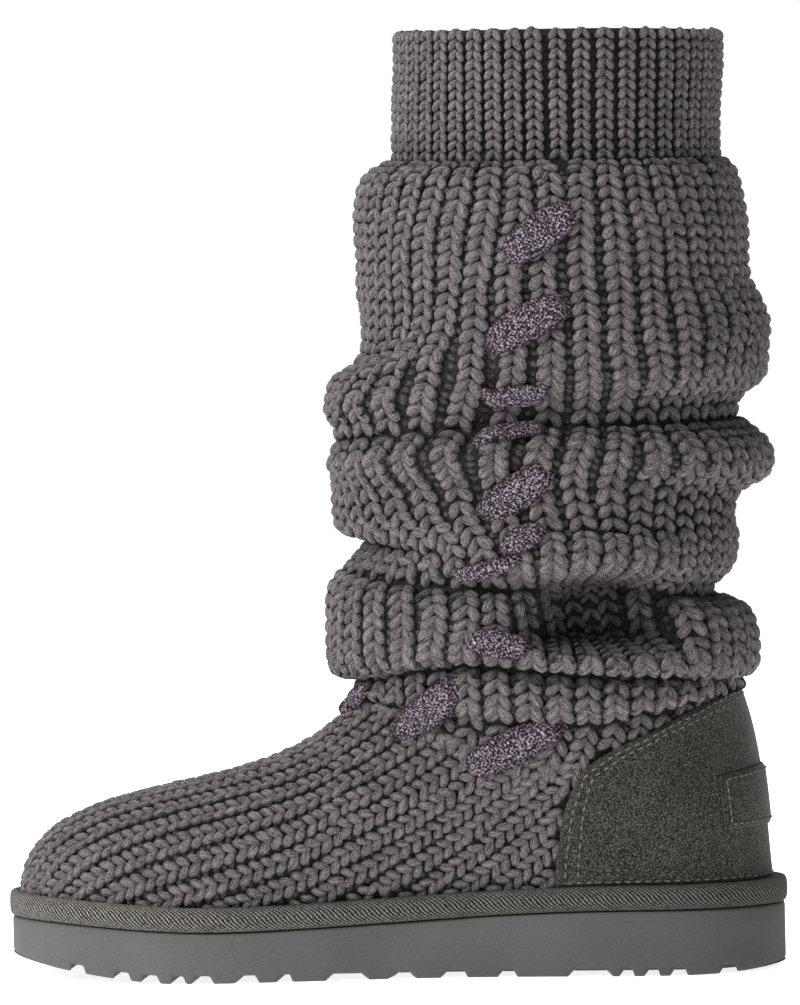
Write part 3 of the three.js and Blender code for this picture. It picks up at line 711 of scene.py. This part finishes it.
def leg_form(along):
    """A plump stitch leg with rings at places along u, width v and thickness w, from -0.5 to 0.5 each."""
    sides, rings = 6, len(along)
    size = 0.5 * (1 - np.abs(2 * along) ** 2.4) ** 0.5
    turn = np.arange(sides) * 2 * np.pi / sides
    u = np.repeat(along, sides)
    v = (size[:, None] * np.cos(turn)).ravel()
    w = (size[:, None] * np.sin(turn)).ravel()
    verts = np.concatenate([[[-0.5, 0, 0]], np.stack([u, v, w], 1), [[0.5, 0, 0]]])
    quads = grid_faces(rings, sides)[:, ::-1] + 1
    ring = np.arange(sides)
    first = np.stack([0 * ring, 1 + (ring + 1) % sides, 1 + ring], 1)
    last_ring = 1 + (rings - 1) * sides
    last = np.stack([0 * ring + len(verts) - 1, last_ring + ring, last_ring + (ring + 1) % sides], 1)
    around = np.concatenate([[0], np.tile(turn / (2 * np.pi), rings), [0]])
    uv = np.stack([verts[:, 0] + 0.5, np.abs(around - 0.5) * 2], 1)
    caps = np.concatenate([first, last])
    return verts, quads, caps, uv


def legs_piece(name, look, centre, along, out, size, sag=0.5, painted_shade=0.0, form=FULL_LEG):
    """Many stitch legs as one mesh.

    centre, along and out have one row for each leg, and size is length, width and thickness. A leg's ends dip by
    sag. Each leg is darkened as painted shade by the given amount, and more on its own underside and ends.
    """
    verts, quads, caps, uv = leg_form(form)
    count, points = len(centre), len(verts)
    along = unit(along)
    out = unit(out - along * (out * along).sum(-1, keepdims=True))
    side = np.cross(out, along)
    size = np.broadcast_to(size, (count, 3))
    u, v, w = (verts[:, k][None, :, None] for k in range(3))
    length, width, thick = (size[:, k][:, None, None] for k in range(3))
    sag = np.broadcast_to(sag, (count,))[:, None, None]
    place = centre[:, None] + along[:, None] * u * length + side[:, None] * v * width
    place = place + out[:, None] * (w * thick - sag * (2 * u) ** 2)
    shift = (np.arange(count) * points)[:, None, None]
    faces = [(quads[None] + shift).reshape(-1, 4), (caps[None] + shift).reshape(-1, 3)]
    tone = np.repeat(random.uniform(-1, 1, count), points)
    # Painted shade: each leg's underside and ends are darkened, as if shaded by the legs around it
    low = np.clip(0.42 - verts[:, 2] * 2.1, 0, 1) + np.clip(np.abs(verts[:, 0]) * 5 - 1.75, 0, 0.4)
    painted_shade = np.clip(np.broadcast_to(painted_shade, (count,))[:, None] + low[None] * 0.85, 0, 1)
    attributes = {"tone": tone, "painted_shade": painted_shade.ravel()}
    uvs = np.tile(uv, (count, 1))
    return piece(name, place.reshape(-1, 3), faces, look, None, uvs, attributes)


def spaced(angle, level, pitch, start=0.5):
    """Places at even steps along a dense path on the upper, and those half a millimetre further on."""
    run = distance_along(upper_base(angle, level))
    count = int(run[-1] / pitch)
    at = (np.arange(count) + start) * run[-1] / max(count, 1)
    place = np.interp(at, run, angle), np.interp(at, run, level)
    beyond = np.interp(at + 0.5, run, angle), np.interp(at + 0.5, run, level)
    return place, beyond


def shaded(angle, level):
    """How far a place on the leg lies sunk between the rolls above and below it, from 0 to 1: how much painted
    shade its stitches get.
    """
    shallowest, depth_range, nearness = 2.5, 13, 13
    centre = np.array([leg_setback, 0, 0])
    place = upper_base(angle, level) - centre
    reach = np.hypot(place[..., 0], place[..., 1])
    depth = 0 * reach
    for step in np.arange(-2.5, 2.51, 0.25):
        other = upper_base(angle, np.clip(level + step, seam_level, top_level)) - centre
        rise = np.hypot(other[..., 0], other[..., 1]) - reach
        height = (other[..., 2] - place[..., 2]) / nearness
        depth = np.maximum(depth, rise * np.exp(-(height**2)))
    return np.clip((depth - shallowest) / depth_range, 0, 1) * (level > seam_level + 1)


class Stitches:
    """Gathers stitch legs, rib by rib, and makes one mesh of them."""

    def __init__(self):
        self.rows = []

    def rib(self, angle, level, pitch, lean=39, spread=0.43, proud=-1.25, spacing=None, inside=False):
        """Adds pairs of legs along a dense path. Their sizes follow the pitch and the spacing of the ribs."""
        place, beyond = spaced(angle, level, pitch)
        count = len(place[0])
        if count < 2:
            return
        centre = upper_base(*place)
        ahead = unit(upper_base(*beyond) - centre)
        out = upper_normal(*place)
        if inside:
            out = -out
            centre = upper_point(*place, -ground_depth - ground_thickness - 0.5)
        ahead = unit(ahead - out * (ahead * out).sum(-1, keepdims=True))
        side = np.cross(out, ahead)
        share = np.ones((count, 1)) if spacing is None else np.clip(spacing(place[1]), *STITCH_WIDTHS)[:, None]
        scale = np.concatenate([share**0.5, share, share**0.5], 1) * STITCH_SIZE * pitch
        # Painted shade for stitches sunk in the creases between the rolls
        painted_shade = shaded(*place)
        for hand in (-1, 1):
            jitter = random.normal(0, 1, (count, 5))
            tip = np.radians(leg_turn) * hand
            local_out = out * np.cos(tip) + side * np.sin(tip)
            middle = centre + side * (spread * pitch * share * hand) + out * (proud - 0.5 * share**2)
            middle = middle + ahead * (stagger * hand) + side * jitter[:, 0:1] * uneven_place
            middle = middle + ahead * jitter[:, 1:2] * uneven_place
            tilt = np.radians(lean + uneven_lean * jitter[:, 2:3])
            along = ahead * np.cos(tilt) - side * hand * np.sin(tilt) - out * leg_dip
            self.rows.append((middle, along, local_out, scale * (1 + uneven_size * jitter[:, 3:4]), painted_shade))

    def make(self, name):
        centre, along, out, size, painted_shade = (np.concatenate([r[k] for r in self.rows]) for k in range(5))
        return legs_piece(name, knit, centre, along, out, size, painted_shade=0.62 * painted_shade)


# Levels of the ankle's seam and angles of the suede counter's front edge
SEAM_ANGLES = np.radians([0, 49, 85, 104, 112, 140, 180])
SEAM_LEVELS = np.array([6.1, 6.08, 5.3, 4.8, 5.5, 6.05, 6.1])
COUNTER_LEVELS = np.array([0.5, 1.94, 3.2, 4.61, 5.21, 5.54, 5.96, 6.11, 6.26])
COUNTER_ANGLES = np.radians([109, 108.5, 107, 105.5, 107.5, 112.5, 125.5, 142, 160])


def folded(angle):
    """The same angle on the inner side of the boot."""
    return np.abs((angle + np.pi) % (2 * np.pi) - np.pi)


leg_ribs, collar_ribs = 40, 46
ended = (np.arange(collar_ribs - leg_ribs) + 0.5) * collar_ribs / (collar_ribs - leg_ribs)
kept = [k for k in range(collar_ribs) if k not in np.round(ended).astype(int)]
shoulder_level, collar_level = 18.2, 19.0
# Distance of the ribs next to a rib from each other where its stitches have their usual width
usual_spacing = 19.6
# How far the leg's ribs reach below the ankle's seam, and the steps of a dense path, in levels
seam_overlap, path_step = 0.25, 0.01
collar_pitch, foot_pitch, purl_pitch = 3.4, 4.3, 3.4
# Ribs on each side of the foot, their distance on its side, and their distance on the ankle's seam as a share
# of it
vamp_ribs, vamp_pitch, seam_spread = 22, 10.0, 0.88


def rib_angle(rib, level):
    """The angle of a leg rib: even round the leg, and drawn in to its collar rib at the shoulder."""
    on_leg = (rib + 0.5) * 2 * np.pi / leg_ribs
    on_collar = (kept[rib] + 0.5) * 2 * np.pi / collar_ribs
    return on_leg + (on_collar - on_leg) * smooth(level, shoulder_level, collar_level)


def rib_start(rib):
    """The level where a leg rib starts, just below the ankle's seam."""
    return np.interp(folded(rib_angle(rib, seam_level + 1)), SEAM_ANGLES, SEAM_LEVELS) - seam_overlap


# Where the leg's ribs sway to one side: angle, level, width in degrees, height in levels, sway in degrees
SWAYS = [
    (52, 15.6, 34, 1.6, -9),
    (58, 12.4, 36, 1.5, -12),
    (150, 15.5, 40, 1.8, 5),
    (135, 12.2, 22, 1.2, 4),
    (70, 9.4, 20, 0.9, 3),
    (230, 15.2, 45, 1.8, 8),
    (300, 12.5, 40, 1.6, 9),
]


def swayed(angle, level):
    """The angle of a rib's stitches once the folds have pulled the rib to one side."""
    shift = 0 * angle
    for at, height, wide, tall, sway in SWAYS:
        turn = np.angle(np.exp(1j * (angle - np.radians(at)))) / np.radians(wide)
        shift = shift + np.radians(sway) * np.exp(-(turn**2) - ((level - height) / tall) ** 2)
    wave = 0.02 * np.sin(3 * angle + 1.9 * level) + 0.013 * np.sin(7 * angle - 2.7 * level + 1)
    return angle + (shift + wave) * smooth(level, 7.6, 9) * (1 - smooth(level, 17, 18.3))


def rib_spacing(rib, level):
    """Distance between the ribs next to a rib, as a share of the usual one."""
    before, after = (swayed(rib_angle((rib + k) % leg_ribs, level), level) for k in (-1, 1))
    return np.linalg.norm(upper_base(after, level) - upper_base(before, level), axis=-1) / usual_spacing


def leg_stitches():
    bands = {"low": (0, 10, 4.7), "mid": (10, 14, 4.6), "high": (14, 19, 4.5)}
    for name, (low, high, pitch) in bands.items():
        stitches = Stitches()
        for rib in range(leg_ribs):
            levels = np.arange(max(low, rib_start(rib)), high, path_step)
            angles = swayed(rib_angle(rib, levels), levels)
            stitches.rib(angles, levels, pitch, spacing=lambda at, rib=rib: rib_spacing(rib, at))
        stitches.make(f"leg_stitches_{name}")


def collar_stitches():
    stitches = Stitches()
    for rib in range(collar_ribs):
        angle = (rib + 0.5) * 2 * np.pi / collar_ribs
        levels = np.arange(18.95, 20.001, path_step)
        within = levels[levels > 19.4]
        stitches.rib(0 * levels + angle, levels, collar_pitch, 34, 0.44, -1.0)
        stitches.rib(0 * within + angle, within, collar_pitch, 34, 0.44, -0.4, inside=True)
    stitches.make("collar_stitches")


def vamp_paths():
    """Ribs of the foot as dense paths of angle and level, and half ribs for the gaps between them.

    Each keeps its own distance from the ridge, measured on slices across the foot.
    """
    angles = np.radians(np.linspace(0, 150, 301))
    levels = np.linspace(0.2, seam_level, 160)
    grid_x = np.maximum.accumulate(upper_base(angles[:, None], levels[None])[..., 0], axis=1)
    seam_x, tape_x = grid_x[:, -1], grid_x[:, 0]
    seam_run = distance_along(upper_base(angles, np.full(len(angles), float(seam_level))))
    toe_x = -137.5
    xs = np.concatenate([toe_x + 20 * np.linspace(0, 1, 60) ** 2, np.linspace(-117, 100, 290)])
    slices = []
    for x in xs:
        first = np.interp(x, seam_x, angles) if x > seam_x[0] else 0.0
        last = np.interp(x, tape_x, angles)
        angle = np.linspace(first, last, 120)
        rows = np.array([np.interp(x, grid_x[k], levels) for k in range(len(angles))])
        level = np.interp(angle, angles, rows)
        run = distance_along(upper_base(angle, level))
        slices.append((run + seam_spread * np.interp(first, angles, seam_run), angle, level))
    for rib in np.arange(0, vamp_ribs, 0.5):
        reach = rib * vamp_pitch
        crossed = [(run, angle, level) for run, angle, level in slices if run[0] <= reach <= run[-1]]
        path = [(np.interp(reach, run, angle), np.interp(reach, run, level)) for run, angle, level in crossed]
        path = np.array(path).reshape(-1, 2)
        edge = np.interp(path[:, 1], COUNTER_LEVELS, COUNTER_ANGLES)
        top = np.interp(path[:, 0], SEAM_ANGLES, SEAM_LEVELS)
        path = path[(path[:, 0] < edge) & (path[:, 1] < top)]
        if len(path) > 4:
            yield rib, path[:, 0], path[:, 1]


def foot_stitches():
    stitches = Stitches()
    for rib, angle, level in vamp_paths():
        if rib % 1:
            continue
        for hand in (1, -1) if rib else (1,):
            stitches.rib(angle * hand, level, foot_pitch, lean=40, spread=0.4)
    stitches.make("foot_stitches")


def purl_row(angle, level, rows):
    """Small bumps of the back-facing stitches along a gap between two ribs."""
    place, beyond = spaced(angle, level, purl_pitch, 0.9)
    if len(place[0]) < 2:
        return
    centre = upper_base(*place)
    out = upper_normal(*place)
    ahead = unit(upper_base(*beyond) - centre)
    side = np.cross(out, ahead)
    jitter = random.normal(0, 1, (len(centre), 3))
    centre = centre - out * (2.9 + 0.3 * jitter[:, 0:1]) + ahead * jitter[:, 1:2] * 0.3
    # The bumps get painted shade, as they lie in the gaps between the ribs, and more in creases
    rows.append((centre, side + ahead * (0.3 + 0.25 * jitter[:, 2:3]), out, 0.58 + 0.4 * shaded(*place)))


def purl_bumps():
    size = 4.6, 3.0, 2.6
    rows = []
    for rib in range(leg_ribs):
        levels = np.arange(rib_start(rib), 18.9, path_step)
        purl_row(swayed(rib_angle(rib, levels) + np.pi / leg_ribs, levels), levels, rows)
    for rib, angle, level in vamp_paths():
        for hand in (1, -1) if rib % 1 else ():
            purl_row(angle * hand, level, rows)
    centre, along, out, painted_shade = (np.concatenate([r[k] for r in rows]) for k in range(4))
    legs_piece("purl_bumps", knit, centre, along, out, size, painted_shade=painted_shade, form=PLAIN_LEG)


# Suede counter, its label and their stitches


def counter_edge(level):
    return np.interp(level, COUNTER_LEVELS, COUNTER_ANGLES)


def patch(name, angle, level, low, high, look, slot, node):
    """A thin closed panel on the upper between two distances from it, with eased edges."""
    rows, columns = angle.shape
    j = np.minimum(np.arange(rows), np.arange(rows)[::-1])[:, None]
    i = np.minimum(np.arange(columns), np.arange(columns)[::-1])[None]
    rim = np.minimum(np.broadcast_to(j, angle.shape), np.broadcast_to(i, angle.shape))
    ease = np.array([0.25, 0.72, 0.93, 1.0])[np.minimum(rim, 3)]
    outer = upper_point(angle, level, low + (high - low) * ease)
    inner = upper_point(angle, level, low)
    front = grid_faces(rows, columns, False)
    back = front[:, ::-1] + rows * columns
    edge = np.concatenate([np.arange(columns), columns - 1 + columns * np.arange(1, rows)])
    edge = np.concatenate([edge, (rows - 1) * columns + np.arange(columns - 2, -1, -1)])
    edge = np.concatenate([edge, columns * np.arange(rows - 2, 0, -1)])
    after = np.roll(edge, -1)
    wall = np.stack([edge, edge + rows * columns, after + rows * columns, after], 1)
    verts = np.concatenate([outer.reshape(-1, 3), inner.reshape(-1, 3)])
    return piece(name, verts, np.concatenate([front, back, wall]), look, node)


# Level of the counter's top edge at shares of the way from the heel's middle to its front edge
COUNTER_ACROSS = [0, 0.3, 0.55, 0.78, 0.93, 1.0]
COUNTER_TOPS = [6.3, 6.2, 6.1, 5.9, 5.45, 4.9]
counter_low = 0.52


def counter_piece():
    rows, columns = 90, 160
    across = np.linspace(-1, 1, columns)
    t = np.linspace(0, 1, rows)[:, None]
    top = np.interp(np.abs(across), COUNTER_ACROSS, COUNTER_TOPS)[None]
    level = counter_low + (top - counter_low) * t
    angle = (np.pi + across[None] * (np.pi - counter_edge(level)))[:, ::-1]
    high = gap + suede_thickness
    return patch("counter_suede", angle, level, gap, high, suede, "suede", "heel_counter")


def label_grid():
    """Angles and levels over the label, which sits across the heel's middle."""
    rows, columns = 24, 60
    heights = np.linspace(label_centre - label_height / 2, label_centre + label_height / 2, rows)
    levels = np.linspace(tuck_level, seam_level, 200)
    back = upper_base(np.full(200, np.pi), levels)
    level = np.interp(heights, back[:, 2], levels)
    angles = np.linspace(np.pi - 1, np.pi + 1, 200)
    ring = upper_base(angles, np.full(200, level[rows // 2]))
    angle = np.interp(np.linspace(-label_width / 2, label_width / 2, columns), ring[:, 1], angles)
    return np.meshgrid(angle, level)


def label_piece():
    low = 2 * gap + suede_thickness
    high = low + label_thickness
    return patch("label_suede", *label_grid(), low, high, suede, "label_suede", "heel_label")


def thread_run(angle, level, offset, pitch, rows):
    """Small straight stitches of thread along a dense path on the upper."""
    place, beyond = spaced(angle, level, pitch)
    centre = upper_point(*place, offset)
    rows.append((centre, unit(upper_point(*beyond, offset) - centre), upper_normal(*place)))


def thread_piece():
    """Rows of stitching along the counter's edges and round its label."""
    counter_seam, label_seam = 3.4, 2.6
    thread_size = 2.5, 0.62, 0.5
    rows = []
    high = gap + suede_thickness + 0.15
    across = np.linspace(-1, 1, 400)
    top = np.interp(np.abs(across), COUNTER_ACROSS, COUNTER_TOPS)
    for inset in (2.0, 4.6):
        reach, rise = 1 - inset / 90, 1 - inset / 62
        level = counter_low + (top - counter_low) * rise
        angle = np.pi + across * reach * (np.pi - counter_edge(level))
        thread_run(angle, level, high, counter_seam, rows)
        level = np.linspace(0.7, counter_low + (COUNTER_TOPS[-1] - counter_low) * rise, 200)
        for hand in (-1, 1):
            angle = np.pi + hand * reach * (np.pi - counter_edge(level))
            thread_run(angle, level, high, counter_seam, rows)
    level = 0 * across + counter_low + 0.1
    thread_run(np.pi + across * 0.98 * (np.pi - counter_edge(level)), level, high, counter_seam, rows)
    angle, level = label_grid()
    high = high + gap + label_thickness
    middle = slice(2, -2)
    for edge in ((2, middle), (middle, -3), (-3, middle), (middle, 2)):
        thread_run(angle[edge], level[edge], high, label_seam, rows)
    centre, along, out = (np.concatenate([r[k] for r in rows]) for k in range(3))
    legs_piece("counter_thread", thread, centre, along, out, thread_size, 0.1, form=PLAIN_LEG)


# Woven strip


def lace_piece():
    """The visible bars of the strip. Each lies straight over the folds and dips in at its ends."""
    verts, faces, uvs, painted_shade = [], [], [], []
    sections, sides = 33, 16
    start = 0
    overrun, lift_out, sink = 0.1, 4.6, 3.6
    turn = np.arange(sides) * 2 * np.pi / sides
    flat = np.sign(np.cos(turn)) * np.abs(np.cos(turn)) ** 0.75
    t = np.linspace(-overrun, 1 + overrun, sections)
    inside = smooth(t, -overrun, 0.16) * (1 - smooth(t, 0.84, 1 + overrun))
    leaf = 0.42 + 0.6 * np.abs(np.sin(np.pi * (t + overrun) / (1 + 2 * overrun))) ** 0.75
    for hand, bar in [(hand, bar) for hand in (1, -1) for bar in BARS]:
        from_angle, from_level, to_angle, to_level, broad = bar
        angle = hand * np.radians(from_angle + (to_angle - from_angle) * t)
        level = from_level + (to_level - from_level) * t
        base = upper_base(angle, level)
        across = base[-1] - base[0]
        out = upper_normal(angle, level)[8:-8].mean(0)
        out = unit(out - across * (out @ across) / (across @ across))
        span = np.linalg.norm(across)
        rise = (base - base[0]) @ out
        hull = (rise[None] - 0.9 / span * ((t[:, None] - t[None]) * span) ** 2).max(1)
        lift = hull + lift_out * inside - sink
        run = np.linspace(0, span, sections)
        centre = base[0] + run[:, None] * across / span + lift[:, None] * out
        ahead = unit(np.gradient(centre, axis=0))
        side = unit(np.cross(out, ahead))
        up = np.cross(ahead, side)
        width = broad * lace_width * leaf
        ring = centre[:, None] + side[:, None] * (flat[None, :, None] * width[:, None, None] / 2)
        ring = ring + up[:, None] * (np.sin(turn)[None, :, None] * lace_thickness / 2)
        block = np.concatenate([ring.reshape(-1, 3), centre[[0, -1]]])
        verts.append(block)
        spot = stacked(t[:, None] * span, flat[None] * width[:, None] / 2).reshape(-1, 2)
        uvs.append(np.concatenate([spot, spot[[0, -1]]]) + 50 * from_level)
        # Painted shade along each bar's edges and at its ends, where it dips into the fabric
        rim = np.maximum(np.abs(flat)[None] ** 6, 1 - inside[:, None])
        painted_shade.append(np.concatenate([rim.ravel(), [1, 1]]))
        k = np.arange(sides)
        tip = start + sections * sides
        last_ring = tip - sides
        faces.append(grid_faces(sections, sides, True, False, start))
        faces.append(np.stack([k * 0 + tip, start + (k + 1) % sides, start + k], 1))
        faces.append(np.stack([k * 0 + tip + 1, last_ring + k, last_ring + (k + 1) % sides], 1))
        start += len(block)
    verts, uvs, attributes = np.concatenate(verts), np.concatenate(uvs), {"painted_shade": np.concatenate(painted_shade)}
    return piece("lace_strip", verts, faces, heather, "lace", uvs, attributes)


sole_piece()
tape_piece()
insole_piece()
ground_piece()
leg_stitches()
collar_stitches()
foot_stitches()
purl_bumps()
counter_piece()
label_piece()
thread_piece()
lace_piece()

# Camera, light and floor

# The photo's height in pixels, and the size of a pixel at the boot in millimetres
photo_height, pixel_size = 1005, 0.355
camera_distance, camera_height, sensor_size = 2.8, 0.282, 36
aim = np.array([3.8, 0, 166]) * MM
azimuth, roll = np.radians(6), np.radians(1.15)
camera_x = aim[0] + np.sin(azimuth) * camera_distance
camera_place = np.array([camera_x, -np.cos(azimuth) * camera_distance, camera_height])
ahead = unit(aim - camera_place)
right = unit(np.cross(ahead, [0, 0, 1]))
upward = np.cross(right, ahead)
rolled_right = np.cos(roll) * right - np.sin(roll) * upward
rolled_up = np.sin(roll) * right + np.cos(roll) * upward
camera = bpy.data.objects.new("camera", bpy.data.cameras.new("camera"))
camera.matrix_world = Matrix(np.column_stack([rolled_right, rolled_up, -ahead]).tolist()).to_4x4()
camera.location = camera_place
camera.data.sensor_width = sensor_size
camera.data.lens = sensor_size * camera_distance / (pixel_size * photo_height * MM)
bpy.context.scene.collection.objects.link(camera)
bpy.context.scene.camera = camera


def area_light(name, place, size, power):
    target = Vector((0.02, 0, 0.13))
    lamp = bpy.data.objects.new(name, bpy.data.lights.new(name, "AREA"))
    lamp.data.size = size
    lamp.data.energy = power
    lamp.location = place
    lamp.rotation_euler = (target - Vector(place)).to_track_quat("-Z", "Y").to_euler()
    bpy.context.scene.collection.objects.link(lamp)


area_light("key_light", (-1.15, -1.0, 1.0), 0.7, 26)
area_light("top_light", (-0.3, 0.1, 1.9), 1.0, 22)
area_light("fill_light", (1.6, -1.6, 0.9), 1.4, 4)
area_light("back_light", (0.4, 1.8, 1.2), 1.6, 16)

# The camera sees a white backdrop, which lights the boot only a little
world = bpy.data.worlds.new("studio")
world.use_nodes = True
nodes, links = world.node_tree.nodes, world.node_tree.links
backdrop = next(n for n in nodes if n.type == "BACKGROUND")
backdrop.inputs["Color"].default_value = (1, 1, 1, 1)
backdrop.inputs["Strength"].default_value = 1.02
around = nodes.new("ShaderNodeBackground")
around.inputs["Strength"].default_value = 0.26
seen = nodes.new("ShaderNodeLightPath")
either = nodes.new("ShaderNodeMixShader")
links.new(seen.outputs["Is Camera Ray"], either.inputs[0])
links.new(around.outputs[0], either.inputs[1])
links.new(backdrop.outputs[0], either.inputs[2])
links.new(either.outputs[0], next(n for n in nodes if n.type == "OUTPUT_WORLD").inputs[0])
bpy.context.scene.world = world

floor_look = Look("floor_paint", 0.9)
floor_look.finish(colour(252, 252, 252))
floor_look.shader.inputs["Emission Color"].default_value = (1, 1, 1, 1)
floor_look.shader.inputs["Emission Strength"].default_value = 0.8
floor_mesh = bpy.data.meshes.new("floor")
floor_mesh.from_pydata([(-20, -20, 0), (20, -20, 0), (20, 20, 0), (-20, 20, 0)], [], [(0, 1, 2, 3)])
floor_mesh.materials.append(floor_look.material)
floor = bpy.data.objects.new("floor", floor_mesh)
bpy.context.scene.collection.objects.link(floor)

bpy.context.scene.view_settings.view_transform = "Standard"
